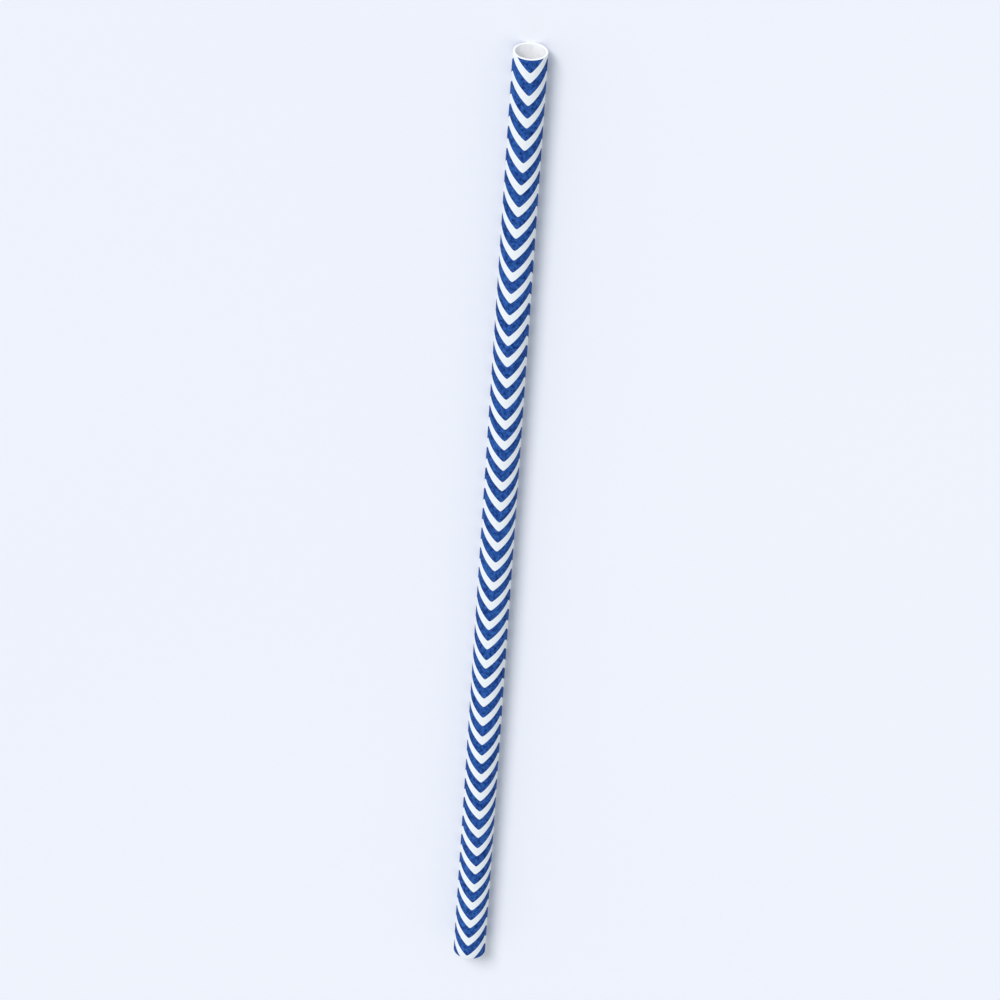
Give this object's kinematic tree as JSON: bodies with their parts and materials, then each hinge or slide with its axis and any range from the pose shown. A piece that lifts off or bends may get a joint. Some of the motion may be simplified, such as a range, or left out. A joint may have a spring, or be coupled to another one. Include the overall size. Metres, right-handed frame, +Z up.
{
  "type": "paper drinking straw",
  "caption": "Straight round paper drinking straw with square-cut ends and a zigzag print, lying on its side.",
  "frame": {"origin": "under the middle of the straw, on the surface that it lies on", "axes": "+X along the tube toward the end that the picture shows open, +Z up, +Y across the tube"},
  "size_m": [0.197, 0.006, 0.006],
  "materials": {
    "printed_paper": "satin"
  },
  "bodies": {
    "root": {"straw": "printed_paper"}
  },
  "joints": []
}
